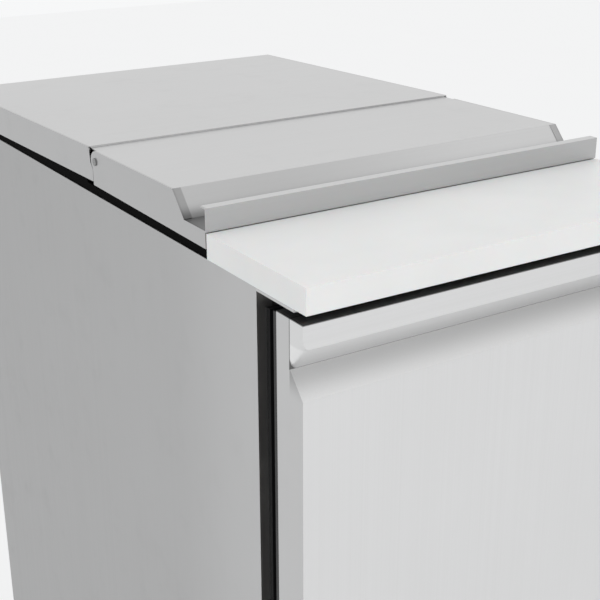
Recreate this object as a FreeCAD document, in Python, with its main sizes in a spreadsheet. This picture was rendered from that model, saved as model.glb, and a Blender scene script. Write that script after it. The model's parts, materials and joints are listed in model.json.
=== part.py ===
import FreeCAD, Part
import os
import re
import Sketcher

# Compact refrigerated sandwich prep table: one full-width door, three food pans under a two-part
# folding lid, and a cutting board along the front. +Z is up, the front faces -Y, and the origin
# is on the floor under the middle of the cabinet. All sizes are millimetres.

SIZES = {
    # Cabinet and its walls.
    "rim_to_side": 55, "pan_zone_at": 150, "rear_ledge": 89.4, "cab_top": 825, "cab_setback": 69.4,
    "base_height": 92, "sheet": 1, "tray_flange": 14, "wall_side": 48, "wall_rear": 60, "wall_floor": 58,
    "sill_height": 50, "header_height": 47, "breaker_width": 8, "header_depth": 65.6,
    "bay_depth": 344, "step_wall": 40, "step_rise": 268,
    # Food pans and the bars between them.
    "pan_count": 3, "pan_length": 325, "pan_pitch": 176.2, "pan_height": 100, "pan_inset": 12,
    "pan_corner": 18, "pan_gap": 0.6, "pan_ledge": 6.5, "well_flange": 12, "bar_width": 12, "bar_height": 9,
    # Cutting board and its rail.
    "board_depth": 146.9, "board_thick": 21.7, "rail_reach": 52.8, "rail_thick": 2.5,
    # Door, its grip, gasket, bushes and hinge brackets.
    "door_front_gap": 4.5, "door_skin_depth": 36.4, "door_top_gap": 9, "door_rise": 46,
    "lip_height": 20, "grip_depth": 17.8, "grip_vertex": 49.7, "grip_bend": 69.8,
    "lip_corner": 6, "fold_shift": 0.38,
    "door_frame_depth": 13.1, "door_frame_width": 12, "door_frame_inset": 5.5,
    "seal_inset": 8.5, "seal_width": 16, "seal_base": 4, "seal_neck": 6,
    "door_pin_inset": 8.5, "door_pin_at": 34, "door_pin_dia": 7, "door_pin_len": 11,
    "bush_dia": 12, "bush_depth": 12, "run_fit": 0.1, "bracket_thick": 3, "bracket_width": 21,
    "bracket_lift": 1,
    # Front lid section.
    "board_gap": 0.5, "trough_depth": 38.7, "slope_depth": 19.4, "lid_flat": 159.2, "trough_z": 23.5,
    "lip_top": 42.6, "lip_hem": 9.5, "wall_setback": 1.2, "lid_top_front": 45.3, "lid_top_seam": 43.5,
    "skirt_front": 8.3, "skirt_pivot": 9.6, "pivot_z": 33.2, "skirt_tail": 6, "tail_inset": 2.7,
    "cap_width": 8, "cap_thick": 0.6, "fold_inner": 0.45, "panel_z": 9.8, "panel_end": 13,
    # Rear lid section, its ears, screws and hinge blocks.
    "seam_back": 14, "rear_wall_back": 23.5, "rear_top_front": 45.2, "rear_top_back": 35.8,
    "rear_skirt_front": 12.8, "rear_skirt_back": 3.6, "rear_panel_front": 13.8, "rear_panel_back": 5.3,
    "ear_radius": 8, "ear_clear": 0.2, "ear_reach": 22, "ear_drop": 5.5,
    "pivot_dia": 4.5, "pivot_head": 7.6, "head_thick": 1,
    "lid_seal_width": 16, "lid_seal_front": 11, "seam_seal": 8,
    "hinge_inset": 4.5, "hinge_z": 6.5, "hinge_block": 10, "hinge_block_top": 12, "notch_side": 12.5,
    "notch_front": 12.5, "notch_top": 20,
    # Legs and feet.
    "leg_dia": 38, "leg_gap": 30, "leg_inset_x": 55, "leg_inset_front": 95, "leg_inset_rear": 50,
    "foot_dia": 40, "foot_thick": 12, "stem_dia": 12, "stem_len": 60,
    # Wire shelf and its rails.
    "shelf_rise": 378, "shelf_wire": 5, "shelf_side_gap": 9.5, "shelf_front_gap": 45.6, "shelf_rear_gap": 62,
    "shelf_wires": 17, "rail_wide": 14, "rail_tall": 16,
    # Evaporator, fans and motors.
    "evap_depth": 62, "evap_side_gap": 34.5, "evap_lift": 6, "evap_rise": 280, "evap_fan_rise": 200,
    "evap_fan_dia": 150, "blade_gap": 6, "hub_dia": 36, "blade_thick": 1.5, "blade_width": 26,
    "motor_dia": 60, "motor_len": 24, "coil_fins": 18, "shaft_dia": 6, "shaft_len": 18,
    "tube_deep": 26, "tube_tall": 3, "coil_deep": 45, "coil_lift": 12, "coil_tall": 88, "coil_inset": 20,
    "tube_inset": 10, "tube_back": 22, "coil_tubes": 3, "coil_tube_at": 30, "coil_tube_pitch": 26,
    # Machine bay.
    "comp_from_side": 129.5, "comp_from_back": 149, "comp_dia": 140, "comp_height": 165, "comp_foot": 12,
    "cond_from_comp": 18, "cond_side_gap": 13.5, "cond_from_back": 66, "cond_depth": 44, "cond_high": 205,
    "cond_fins": 22, "cond_fan_rim": 8, "cond_end": 6, "cond_tubes": 6, "cond_tube_at": 20,
    "cond_tube_pitch": 33, "shroud_gap": 14, "shroud_fan_gap": 14, "fan_motor_gap": 8,
    "strut_thick": 3, "strut_tall": 16, "strut_post": 10,
    "slot_wide": 120, "slot_tall": 6, "slot_pitch": 15, "slot_count": 11, "slot_rise": 30,
    # Controls in the sill, and the cord grommet.
    "ctrl_from_side": 107.5, "ctrl_wide": 78, "ctrl_tall": 34, "ctrl_body_wide": 70, "ctrl_body_tall": 28,
    "ctrl_depth": 55, "ctrl_face": 4, "key_wide": 9, "key_tall": 5, "key_pitch": 14, "key_out": 1,
    "switch_from_side": 182.5, "switch_wide": 30, "switch_tall": 22, "rocker_wide": 18, "rocker_tall": 12,
    "rocker_axle_dia": 4, "front_part_rise": 23,
    "grommet_from_side": 67.5, "grommet_rise": 58, "grommet_dia": 18, "cord_bore": 9, "grommet_len": 8,
}

# Places that follow from the sizes: the pans set the cabinet, and the cabinet places the rest.
PLACES = {
    "cab_width": "pan_length + 2*rim_to_side",
    "cab_depth": "pan_zone_at + pan_count*pan_pitch + rear_ledge",
    "pan_zone_front": "-cab_depth/2 + pan_zone_at",
    "step_front": "cab_depth/2 - bay_depth",
    "step_top": "base_height + step_rise",
    "door_bottom": "base_height + door_rise",
    "door_pin_y": "-cab_depth/2 + door_pin_at",
    "lid_front_y": "-cab_depth/2 + board_depth + board_gap",
    "trough_back_y": "lid_front_y + trough_depth",
    "slope_top_y": "trough_back_y + slope_depth",
    "pivot_y": "slope_top_y + lid_flat",
    "seam_y": "pivot_y + seam_back",
    "rear_wall_y": "pivot_y + rear_wall_back",
    "hinge_y": "cab_depth/2 - hinge_inset",
    "shelf_z": "base_height + shelf_rise",
    "shelf_half": "cab_width/2 - wall_side - shelf_side_gap",
    "shelf_front": "-cab_depth/2 + cab_setback + shelf_front_gap",
    "shelf_back": "cab_depth/2 - wall_rear - evap_depth - shelf_rear_gap",
    "evap_half": "cab_width/2 - wall_side - evap_side_gap",
    "evap_low": "step_top + evap_lift",
    "evap_high": "step_top + evap_rise",
    "evap_fan_z": "step_top + evap_fan_rise",
    "comp_x": "-cab_width/2 + comp_from_side",
    "comp_y": "cab_depth/2 - comp_from_back",
    "cond_left": "comp_x + comp_dia/2 + cond_from_comp",
    "cond_right": "cab_width/2 - wall_side - cond_side_gap",
    "cond_half": "(cond_right - cond_left)/2",
    "cond_x": "(cond_left + cond_right)/2",
    "cond_fan_dia": "2*cond_half - 2*cond_fan_rim",
    "cond_y": "cab_depth/2 - cond_from_back",
    "slot_low": "base_height + slot_rise",
    "ctrl_x": "-cab_width/2 + ctrl_from_side",
    "switch_x": "-cab_width/2 + switch_from_side",
    "front_part_z": "base_height + front_part_rise",
    "grommet_x": "cab_width/2 - grommet_from_side",
    "grommet_z": "base_height + grommet_rise",
}

doc = FreeCAD.newDocument("PrepTable")
os.makedirs("parts", exist_ok=True)
dims = doc.addObject("Spreadsheet::Sheet", "Dims")
for row, (alias, value) in enumerate(SIZES.items(), start=1):
    dims.set("A%d" % row, alias)
    dims.set("B%d" % row, str(value))
    dims.setAlias("B%d" % row, alias)
doc.recompute()

NODES = []
XYZ = ("x", "y", "z")


def bound(text):
    """The expression with each place written out and each named size looked up in the sheet."""
    return re.sub(r"[a-z][a-z_0-9]*", lambda found: looked_up(found.group(0)), str(text))


def looked_up(word):
    if word in PLACES:
        return "(%s)" % bound(PLACES[word])
    return "Dims." + word if word in SIZES else word


def minus(text):
    return "-(%s)" % text


def place(shape_object, point):
    for axis, value in zip(XYZ, point):
        shape_object.setExpression("Placement.Base.%s" % axis, bound(value))


def box(name, x, y, z):
    block = doc.addObject("Part::Box", name)
    for size, (low, high) in zip(("Length", "Width", "Height"), (x, y, z)):
        block.setExpression(size, bound("(%s) - (%s)" % (high, low)))
    place(block, (x[0], y[0], z[0]))
    return block


TURN = {
    "z": FreeCAD.Rotation(),
    "x": FreeCAD.Rotation(FreeCAD.Vector(0, 1, 0), 90),
    "y": FreeCAD.Rotation(FreeCAD.Vector(1, 0, 0), -90),
}


def rod(name, dia, length, point, along="z"):
    """A cylinder that starts at point and runs along +x, +y or +z."""
    cylinder = doc.addObject("Part::Cylinder", name)
    cylinder.setExpression("Radius", bound("(%s)/2" % dia))
    cylinder.setExpression("Height", bound(length))
    cylinder.Placement.Rotation = TURN[along]
    place(cylinder, point)
    return cylinder


def fuse(name, shapes):
    joined = doc.addObject("Part::MultiFuse", name)
    joined.Shapes = shapes
    joined.Refine = True
    return joined


def cut(name, base, tools):
    tool = tools[0] if len(tools) == 1 else fuse(name + "_tools", tools)
    result = doc.addObject("Part::Cut", name)
    result.Base = base
    result.Tool = tool
    result.Refine = True
    return result


def group(name, shapes):
    """Like pieces kept as one node."""
    together = doc.addObject("Part::Compound", name)
    together.Links = shapes
    return together


def sketch_on(body, role, outline):
    plane = [item for item in body.Origin.OriginFeatures if item.Role == role][0]
    sketch = body.newObject("Sketcher::SketchObject", body.Name + "_sketch")
    sketch.AttachmentSupport = [(plane, "")]
    sketch.MapMode = "FlatFace"
    guess = [[dims.evalExpression(bound(value)) for value in point] for point in outline]
    guess = [[float(getattr(value, "Value", value)) for value in point] for point in guess]
    count = len(outline)
    for index in range(count):
        first = FreeCAD.Vector(*guess[index], 0)
        second = FreeCAD.Vector(*guess[(index + 1) % count], 0)
        sketch.addGeometry(Part.LineSegment(first, second), False)
    for index in range(count):
        sketch.addConstraint(Sketcher.Constraint("Coincident", index, 2, (index + 1) % count, 1))
    for index in range(count):
        for kind, start, value in zip(("DistanceX", "DistanceY"), guess[index], outline[index]):
            number = sketch.addConstraint(Sketcher.Constraint(kind, index, 1, start))
            sketch.setExpression("Constraints[%d]" % number, bound(value))
    return sketch


def prism(name, outline, x):
    """A (y, z) outline padded from x[0] to x[1]."""
    body = doc.addObject("PartDesign::Body", name)
    sketch = sketch_on(body, "YZ_Plane", outline)
    sketch.setExpression("AttachmentOffset.Base.z", bound(x[0]))
    pad = body.newObject("PartDesign::Pad", name + "_pad")
    pad.Profile = sketch
    pad.setExpression("Length", bound("(%s) - (%s)" % (x[1], x[0])))
    sketch.Visibility = False
    return body


def turned(name, outline, point):
    """An (r, z) outline turned about the vertical line through point."""
    body = doc.addObject("PartDesign::Body", name)
    sketch = sketch_on(body, "XZ_Plane", outline)
    revolution = body.newObject("PartDesign::Revolution", name + "_turn")
    revolution.Profile = sketch
    revolution.ReferenceAxis = (sketch, ["V_Axis"])
    revolution.Angle = 360
    sketch.Visibility = False
    place(body, point)
    return body


def rounded(name, x, y, z, radius):
    """A block with its four upright edges rounded."""
    body = doc.addObject("PartDesign::Body", name)
    corners = ((x[0], y[0]), (x[1], y[0]), (x[1], y[1]), (x[0], y[1]))
    sketch = sketch_on(body, "XY_Plane", corners)
    sketch.setExpression("AttachmentOffset.Base.z", bound(z[0]))
    pad = body.newObject("PartDesign::Pad", name + "_pad")
    pad.Profile = sketch
    pad.setExpression("Length", bound("(%s) - (%s)" % (z[1], z[0])))
    doc.recompute()
    upright = [
        "Edge%d" % number for number, edge in enumerate(pad.Shape.Edges, start=1)
        if abs(edge.Vertexes[0].Z - edge.Vertexes[-1].Z) > 1
    ]
    fillet = body.newObject("PartDesign::Fillet", name + "_fillet")
    fillet.Base = (pad, upright)
    fillet.setExpression("Radius", bound(radius))
    sketch.Visibility = False
    return body


def node(shape_object):
    NODES.append(shape_object)
    return shape_object


def ring(name, half_out, half_in, y, z_out, z_in):
    """A frame in the x-z plane, y deep."""
    outer = box(name + "_outer", (minus(half_out), half_out), y, z_out)
    inner = box(name + "_inner", (minus(half_in), half_in), ("%s - 1" % y[0], "%s + 1" % y[1]), z_in)
    return cut(name, outer, [inner])


def both(side, near, far):
    """The x range from near to far of the middle, on one side."""
    return (near, far) if side > 0 else (minus(far), minus(near))


SIDES = (("left", -1), ("right", 1))

# Planes that many pieces share.
HALF = "cab_width/2"
BACK = "cab_depth/2"
BOARD_FRONT = "-cab_depth/2"
FRONT = "(-cab_depth/2 + cab_setback)"
TRAY = "(cab_width/2 - tray_flange)"
CAVITY = "(cab_width/2 - wall_side)"
CAVITY_BACK = "(cab_depth/2 - wall_rear)"
CAVITY_FLOOR = "(base_height + wall_floor)"
BASE_IN = "(base_height + sheet)"
TOP_IN = "(cab_top - sheet)"
FRONT_IN = "(-cab_depth/2 + cab_setback + sheet)"
BACK_IN = "(cab_depth/2 - sheet)"
HEADER_BOTTOM = "(cab_top - header_height)"
CAVITY_TOP = "(cab_top - header_height - breaker_width)"
HEADER_BACK = "(-cab_depth/2 + cab_setback + header_depth)"
STEP_REAR = "(step_front + step_wall)"
STEP_UNDER = "(step_top - step_wall)"

# Cabinet shell.
foam = []
for word, side in SIDES:
    outer = box("side_%s_outer" % word, both(side, TRAY, HALF), (FRONT, BACK), ("base_height", "cab_top"))
    hollow = box("side_%s_hollow" % word, both(side, TRAY + " - 1", HALF + " - sheet"),
                 (FRONT_IN, BACK_IN), (BASE_IN, TOP_IN))
    node(cut("side_panel_%s" % word, outer, [hollow]))
    foam.append(box("foam_%s" % word, both(side, CAVITY + " + sheet", HALF + " - sheet"),
                    (FRONT_IN, BACK_IN), (BASE_IN, TOP_IN)))

node(box("back_panel", (minus(TRAY), TRAY), (BACK_IN, BACK), (STEP_UNDER, TOP_IN)))
node(box("base_plate", (minus(TRAY), TRAY), (FRONT, BACK), ("base_height", BASE_IN)))

SILL_TOP = "(base_height + sill_height)"
node(box("front_header", (minus(TRAY), TRAY), (FRONT, FRONT_IN), (HEADER_BOTTOM, TOP_IN)))
node(ring("front_frame", TRAY, CAVITY, (FRONT, FRONT_IN), (SILL_TOP, HEADER_BOTTOM),
          (CAVITY_FLOOR, CAVITY_TOP)))

sill = box("sill_plate", (minus(TRAY), TRAY), (FRONT, FRONT_IN), (BASE_IN, SILL_TOP))
PART_LOW = "(front_part_z - %s/2)"
PART_HIGH = "(front_part_z + %s/2)"
ctrl_hole = box("sill_ctrl_hole", ("ctrl_x - ctrl_body_wide/2", "ctrl_x + ctrl_body_wide/2"),
                (FRONT + " - 1", FRONT_IN + " + 1"),
                (PART_LOW % "ctrl_body_tall", PART_HIGH % "ctrl_body_tall"))
switch_hole = box("sill_switch_hole", ("switch_x - rocker_wide/2 - 2", "switch_x + rocker_wide/2 + 2"),
                  (FRONT + " - 1", FRONT_IN + " + 1"),
                  (PART_LOW % "(rocker_tall + 4)", PART_HIGH % "(rocker_tall + 4)"))
node(cut("front_sill", sill, [ctrl_hole, switch_hole]))

# Top frame: a plate round the pan well with its edge turned down.
WELL = "(pan_length/2 - pan_ledge)"
WELL_FRONT = "(pan_zone_front + pan_ledge + 2.5)"
WELL_BACK = "(pan_zone_front + pan_count*pan_pitch - pan_ledge - 2.5)"
plate = box("top_plate", (minus(TRAY), TRAY), (FRONT, BACK), (TOP_IN, "cab_top"))
well_wall = box("well_wall", ("-%s - sheet" % WELL, WELL + " + sheet"),
                (WELL_FRONT + " - sheet", WELL_BACK + " + sheet"), ("cab_top - well_flange", "cab_top"))
well_hole = box("well_hole", (minus(WELL), WELL), (WELL_FRONT, WELL_BACK),
                ("cab_top - well_flange - 1", "cab_top + 1"))
node(cut("top_frame", fuse("top_frame_solid", [plate, well_wall]), [well_hole]))

# Storage cavity: a stepped liner, with the machine bay behind and under the step.
liner_outer = prism("liner_outer", (
    (FRONT_IN, CAVITY_FLOOR + " - sheet"), ("step_front + sheet", CAVITY_FLOOR + " - sheet"),
    ("step_front + sheet", "step_top - sheet"), (CAVITY_BACK + " + sheet", "step_top - sheet"),
    (CAVITY_BACK + " + sheet", TOP_IN), (FRONT_IN, TOP_IN)), ("-%s - sheet" % CAVITY, CAVITY + " + sheet"))
liner_hollow = prism("liner_hollow", (
    (FRONT, CAVITY_FLOOR), ("step_front", CAVITY_FLOOR), ("step_front", "step_top"),
    (CAVITY_BACK, "step_top"), (CAVITY_BACK, "cab_top"), (FRONT, "cab_top")), (minus(CAVITY), CAVITY))
node(cut("inner_liner", liner_outer, [liner_hollow]))

floor_foam = prism("floor_foam", (
    (FRONT_IN, BASE_IN), (STEP_REAR, BASE_IN), (STEP_REAR, STEP_UNDER),
    (CAVITY_BACK + " + sheet", STEP_UNDER), (CAVITY_BACK + " + sheet", "step_top - sheet"),
    ("step_front + sheet", "step_top - sheet"), ("step_front + sheet", CAVITY_FLOOR + " - sheet"),
    (FRONT_IN, CAVITY_FLOOR + " - sheet")), ("-%s - sheet" % CAVITY, CAVITY + " + sheet"))
ctrl_pocket = box("ctrl_pocket", ("ctrl_x - ctrl_body_wide/2", "ctrl_x + ctrl_body_wide/2"),
                  (FRONT, FRONT_IN + " + ctrl_depth"),
                  (PART_LOW % "ctrl_body_tall", PART_HIGH % "ctrl_body_tall"))
switch_pocket = box("switch_pocket", ("switch_x - rocker_wide/2 - 2", "switch_x + rocker_wide/2 + 2"),
                    (FRONT, FRONT_IN + " + 25"),
                    (PART_LOW % "(rocker_tall + 4)", PART_HIGH % "(rocker_tall + 4)"))
foam.append(cut("foam_floor", floor_foam, [ctrl_pocket, switch_pocket]))
foam.append(box("foam_back", ("-%s - sheet" % CAVITY, CAVITY + " + sheet"),
                (CAVITY_BACK + " + sheet", BACK_IN), (STEP_UNDER, TOP_IN)))
foam.append(box("foam_header", (minus(CAVITY), CAVITY), (FRONT_IN, HEADER_BACK + " - sheet"),
                (CAVITY_TOP + " + sheet", TOP_IN)))
node(group("cabinet_insulation", foam))
node(prism("header_liner", (
    (FRONT_IN, CAVITY_TOP), (HEADER_BACK, CAVITY_TOP), (HEADER_BACK, TOP_IN),
    (HEADER_BACK + " - sheet", TOP_IN), (HEADER_BACK + " - sheet", CAVITY_TOP + " + sheet"),
    (FRONT_IN, CAVITY_TOP + " + sheet")), (minus(CAVITY), CAVITY)))

bay_outer = box("bay_outer", ("-%s - sheet" % CAVITY, CAVITY + " + sheet"), (STEP_REAR, BACK_IN),
                (BASE_IN, STEP_UNDER))
bay_hollow = box("bay_hollow", (minus(CAVITY), CAVITY), (STEP_REAR + " + sheet", BACK),
                 ("base_height", STEP_UNDER + " - sheet"))
node(cut("machine_bay_lining", bay_outer, [bay_hollow]))

grille_plate = box("grille_plate", (minus(TRAY), TRAY), (BACK_IN, BACK), (BASE_IN, STEP_UNDER))
slots = [
    box("grille_slot_%d_%d" % (column, row),
        ("%d*(slot_wide/2 + 8) - slot_wide/2" % column, "%d*(slot_wide/2 + 8) + slot_wide/2" % column),
        (BACK_IN + " - 1", BACK + " + 1"),
        ("slot_low + %d*slot_pitch" % row, "slot_low + %d*slot_pitch + slot_tall" % row))
    for column in (-1, 1) for row in range(int(SIZES["slot_count"]))
]
cord_hole = rod("cord_hole", "grommet_dia + run_fit", "sheet + 2",
                ("grommet_x", BACK_IN + " - 1", "grommet_z"), "y")
node(cut("rear_grille", grille_plate, slots + [cord_hole]))

# Food pans, hung by their rims, with a bar under each joint between two rims.
pans = []
for index in range(int(SIZES["pan_count"])):
    near = "pan_zone_front + %d*pan_pitch" % index
    far = "pan_zone_front + %d*pan_pitch - pan_gap" % (index + 1)
    rim = box("rim_%d" % index, ("-pan_length/2", "pan_length/2"), (near, far),
              ("cab_top", "cab_top + sheet"))
    tub = rounded("tub_%d" % index, ("-pan_length/2 + pan_inset", "pan_length/2 - pan_inset"),
                  (near + " + pan_inset", far + " - pan_inset"),
                  ("cab_top + sheet - pan_height", "cab_top"), "pan_corner")
    inside = rounded("inside_%d" % index,
                     ("-pan_length/2 + pan_inset + sheet", "pan_length/2 - pan_inset - sheet"),
                     (near + " + pan_inset + sheet", far + " - pan_inset - sheet"),
                     ("cab_top + 2*sheet - pan_height", "cab_top + 2*sheet"), "pan_corner - sheet")
    pans.append(cut("food_pan_%d" % index, fuse("pan_solid_%d" % index, [rim, tub]), [inside]))
node(group("food_pans", pans))

bars = []
for index in range(1, int(SIZES["pan_count"])):
    joint = "(pan_zone_front + %d*pan_pitch - pan_gap/2)" % index
    across = (joint + " - bar_width/2", joint + " + bar_width/2")
    bars.append(box("pan_bar_%d" % index, (minus(WELL), WELL), across, ("cab_top - bar_height", "cab_top")))
node(group("pan_support_bars", bars))

# Cutting board and the folded rail that carries its front.
node(box("cutting_board", (minus(HALF), HALF), (BOARD_FRONT, BOARD_FRONT + " + board_depth"),
         ("cab_top", "cab_top + board_thick")))
node(box("board_rail", (minus(HALF), HALF), (FRONT + " - rail_reach", FRONT),
         ("cab_top - rail_thick", "cab_top")))

# Door: a folded skin with a V-shaped finger grip across its full width.
DOOR_FRONT = "(-cab_depth/2 + door_front_gap)"
DOOR_BACK = "(-cab_depth/2 + door_front_gap + door_skin_depth)"
GRIP = "(-cab_depth/2 + door_front_gap + grip_depth)"
DOOR_TOP = "(cab_top - door_top_gap)"
LIP_BOTTOM = "(cab_top - door_top_gap - lip_height)"
VERTEX = "(cab_top - grip_vertex)"
BEND = "(cab_top - grip_bend)"
INSIDE = (minus(HALF) + " + sheet", HALF + " - sheet")
WHOLE = (minus(HALF), HALF)

skin_outer = prism("skin_outer", (
    (DOOR_BACK, DOOR_TOP), (GRIP, DOOR_TOP), (GRIP, VERTEX), (DOOR_FRONT, BEND),
    (DOOR_FRONT, "door_bottom"), (DOOR_BACK, "door_bottom")), WHOLE)
skin_inside = (
    (DOOR_BACK, DOOR_TOP + " - sheet"), (GRIP + " + sheet", DOOR_TOP + " - sheet"),
    (GRIP + " + sheet", VERTEX + " - fold_shift*sheet"),
    (DOOR_FRONT + " + sheet", BEND + " - fold_shift*sheet"),
    (DOOR_FRONT + " + sheet", "door_bottom + sheet"), (DOOR_BACK, "door_bottom + sheet"))
skin_hollow = prism("skin_hollow", skin_inside, INSIDE)
PIN_X = "(cab_width/2 - door_pin_inset)"
bush_holes = [
    rod("skin_bush_hole_%s" % word, "bush_dia + run_fit", "sheet + 2", (PIN_X, "door_pin_y", low), "z")
    for word, low in (("top", DOOR_TOP + " - sheet - 1"), ("bottom", "door_bottom - 1"))
]
node(cut("door_skin", cut("door_skin_shell", skin_outer, [skin_hollow]), bush_holes))

def round_flank(body, radius):
    """Rounds the sloping end edges under the door's lip."""
    doc.recompute()
    pad = body.Tip
    sloping = [
        "Edge%d" % number for number, edge in enumerate(pad.Shape.Edges, start=1)
        if abs(edge.tangentAt(edge.FirstParameter).y * edge.tangentAt(edge.FirstParameter).z) > 0.1
    ]
    fillet = body.newObject("PartDesign::Fillet", body.Name + "_fillet")
    fillet.Base = (pad, sloping)
    fillet.setExpression("Radius", bound(radius))
    return body


lip_outer = prism("lip_outer", (
    (GRIP, DOOR_TOP), (DOOR_FRONT, DOOR_TOP), (DOOR_FRONT, LIP_BOTTOM), (GRIP, VERTEX)), WHOLE)
lip_hollow = prism("lip_hollow", (
    (GRIP + " + sheet", DOOR_TOP + " - sheet"), (DOOR_FRONT + " + sheet", DOOR_TOP + " - sheet"),
    (DOOR_FRONT + " + sheet", LIP_BOTTOM + " + fold_shift*sheet"),
    (GRIP + " + sheet", VERTEX + " + fold_shift*sheet")), INSIDE)
node(cut("door_grip", round_flank(lip_outer, "lip_corner"), [round_flank(lip_hollow, "lip_corner - sheet")]))

FRAME_BACK = "(-cab_depth/2 + door_front_gap + door_skin_depth + door_frame_depth)"
FRAME_OUT = "(cab_width/2 - door_frame_inset)"
FRAME_IN = "(cab_width/2 - door_frame_inset - door_frame_width)"
PLUG_LOW = "(door_bottom + door_frame_inset + door_frame_width)"
PLUG_HIGH = "(cab_top - door_top_gap - door_frame_inset - door_frame_width)"
node(ring("door_frame", FRAME_OUT, FRAME_IN, (DOOR_BACK, FRAME_BACK),
          ("door_bottom + door_frame_inset", DOOR_TOP + " - door_frame_inset"), (PLUG_LOW, PLUG_HIGH)))
node(box("door_inner_panel", (minus(FRAME_IN), FRAME_IN), (FRAME_BACK + " - sheet", FRAME_BACK),
         (PLUG_LOW, PLUG_HIGH)))
door_core = prism("door_core", skin_inside, INSIDE)
door_plug = box("door_plug", (minus(FRAME_IN), FRAME_IN), (DOOR_BACK, FRAME_BACK + " - sheet"),
                (PLUG_LOW, PLUG_HIGH))
bush_wells = [
    rod("bush_well_%s" % word, "bush_dia", "bush_depth", (PIN_X, "door_pin_y", low), "z")
    for word, low in (("top", DOOR_TOP + " - bush_depth"), ("bottom", "door_bottom"))
]
node(cut("door_insulation", fuse("door_insulation_solid", [door_core, door_plug]), bush_wells))
bushes = []
for word, low in (("top", DOOR_TOP + " - bush_depth"), ("bottom", "door_bottom")):
    foot = (PIN_X, "door_pin_y", low)
    bush = rod("bush_%s" % word, "bush_dia", "bush_depth", foot)
    bore = rod("bush_bore_%s" % word, "door_pin_dia + run_fit", "bush_depth", foot)
    bushes.append(cut("door_bush_%s" % word, bush, [bore]))
node(group("door_bushes", bushes))

SEAL_OUT = "(cab_width/2 - seal_inset - %s)"
SEAL_IN = "(cab_width/2 - seal_inset - seal_width + %s)"
SEAL_TOP = "(cab_top - door_top_gap - seal_inset - %s)"
SEAL_TOP_IN = "(cab_top - door_top_gap - seal_inset - seal_width + %s)"
SEAL_LOW = "(door_bottom + seal_inset + %s)"
SEAL_LOW_IN = "(door_bottom + seal_inset + seal_width - %s)"
seal_rings = []
for word, shrink, low, high in (
        ("base", "2", FRAME_BACK, FRAME_BACK + " + seal_base"),
        ("neck", "4", FRAME_BACK + " + seal_base", FRAME_BACK + " + seal_base + seal_neck"),
        ("magnet", "0", FRAME_BACK + " + seal_base + seal_neck", FRONT)):
    outside = (SEAL_LOW % shrink, SEAL_TOP % shrink)
    inside = (SEAL_LOW_IN % shrink, SEAL_TOP_IN % shrink)
    seal_rings.append(ring("door_seal_%s" % word, SEAL_OUT % shrink, SEAL_IN % shrink, (low, high),
                           outside, inside))
node(fuse("door_gasket", seal_rings))

# Hinge brackets with their pins, above and below the door.
PLATE_X = ("cab_width/2 - bracket_width - 1", "cab_width/2 - 1")
PLATE_Y = ("door_pin_y - bush_dia/2 - 2", FRONT)
LEG_Y = (FRONT + " - bracket_thick", FRONT)
top_leaf = box("top_leaf", PLATE_X, PLATE_Y, (DOOR_TOP + " + bracket_lift",
                                              DOOR_TOP + " + bracket_lift + bracket_thick"))
top_leg = box("top_leg", PLATE_X, LEG_Y, (DOOR_TOP + " - 6", DOOR_TOP + " + bracket_lift"))
low_leaf = box("low_leaf", PLATE_X, PLATE_Y, ("door_bottom - bracket_lift - bracket_thick",
                                              "door_bottom - bracket_lift"))
low_leg = box("low_leg", PLATE_X, LEG_Y, ("base_height + 6", "door_bottom - bracket_lift"))
top_pin = rod("top_pin", "door_pin_dia", "door_pin_len",
              (PIN_X, "door_pin_y", DOOR_TOP + " + bracket_lift - door_pin_len"))
low_pin = rod("low_pin", "door_pin_dia", "door_pin_len", (PIN_X, "door_pin_y", "door_bottom - bracket_lift"))
node(group("door_hinge_brackets", [fuse("top_bracket", [top_leaf, top_leg, top_pin]),
                                   fuse("low_bracket", [low_leaf, low_leg, low_pin])]))

# Front lid section: one folded sheet from the lip, through the trough, up the slope and back.
LIP_FRONT = "lid_front_y"
WALL_FRONT = "(lid_front_y + wall_setback)"
WALL_IN = "(lid_front_y + wall_setback + sheet)"


def lid_top(y):
    """Height of the front section's top at depth y."""
    drop = "(lid_top_front - lid_top_seam)*((%s) - slope_top_y)/(seam_y - slope_top_y)" % y
    return "(cab_top + lid_top_front - %s)" % drop


TAIL = "(pivot_y + skirt_tail)"
shell_outer = prism("front_shell_outer", (
    (WALL_FRONT, "cab_top + skirt_front"), (WALL_FRONT, "cab_top + trough_z - sheet"),
    (LIP_FRONT, "cab_top + trough_z - sheet"), (LIP_FRONT, "cab_top + trough_z"),
    ("trough_back_y", "cab_top + trough_z"), ("slope_top_y", "cab_top + lid_top_front"),
    ("pivot_y", lid_top("pivot_y")), ("pivot_y + 4.2", "cab_top + pivot_z + 8.9"),
    ("pivot_y + 8", "cab_top + pivot_z + 5.7"), ("pivot_y + 9.6", "cab_top + pivot_z + 1.5"),
    ("pivot_y + 8.9", "cab_top + pivot_z - 4"), (TAIL, "cab_top + pivot_z - 7.6"),
    (TAIL, "cab_top + skirt_pivot")), WHOLE)
front_under = (
    (WALL_IN, "cab_top + trough_z - sheet"),
    ("trough_back_y + fold_inner*sheet", "cab_top + trough_z - sheet"),
    ("slope_top_y + fold_inner*sheet", "cab_top + lid_top_front - sheet"))
shell_hollow = prism("front_shell_hollow", (
    (WALL_IN, "cab_top"),) + front_under + (
    ("pivot_y + 30", lid_top("pivot_y + 30") + " - sheet"), ("pivot_y + 30", "cab_top")), INSIDE)
lip = prism("front_lip", (
    (LIP_FRONT, "cab_top + trough_z"), (LIP_FRONT, "cab_top + lip_top"),
    ("lid_front_y + lip_hem", "cab_top + lip_top"), ("lid_front_y + lip_hem", "cab_top + lip_top - sheet"),
    ("lid_front_y + sheet", "cab_top + lip_top - sheet"), ("lid_front_y + sheet", "cab_top + trough_z")),
    WHOLE)
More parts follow.
